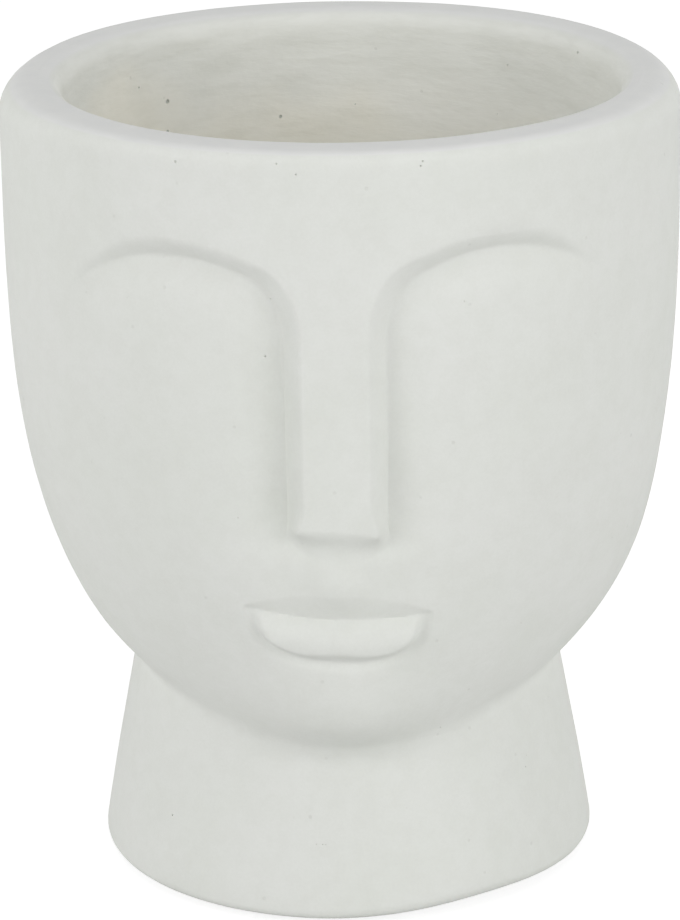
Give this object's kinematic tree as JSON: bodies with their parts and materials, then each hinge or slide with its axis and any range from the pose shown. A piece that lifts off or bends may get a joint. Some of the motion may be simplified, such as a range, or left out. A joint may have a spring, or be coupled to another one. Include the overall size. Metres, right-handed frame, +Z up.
{
  "type": "head planter",
  "caption": "White cement planter shaped as a head with a plain face on a flared neck, open at the top, with a plugged drain hole and felt feet.",
  "frame": {"origin": "on the pot's axis, at the level of what its felt pads stand on", "axes": "+Z up along the pot's axis, the face looks along -Y, +X is to the viewer's right in front of the face"},
  "size_m": [0.165, 0.165, 0.1985],
  "materials": {
    "cement": "matt white cast cement, chalky, with small pinholes",
    "rubber": "matt soft rubber",
    "felt": "pressed felt, stuck on"
  },
  "bodies": {
    "pot": {"pot_body": "cement", "foot_pad_1": "felt", "foot_pad_2": "felt", "foot_pad_3": "felt", "foot_pad_4": "felt"},
    "plug": {"drain_plug": "rubber"}
  },
  "joints": [
    {"name": "plug_lift", "type": "slide", "parent": "pot", "child": "plug", "axis": [0, 0, 1], "range_m": [0, 0.2]}
  ]
}
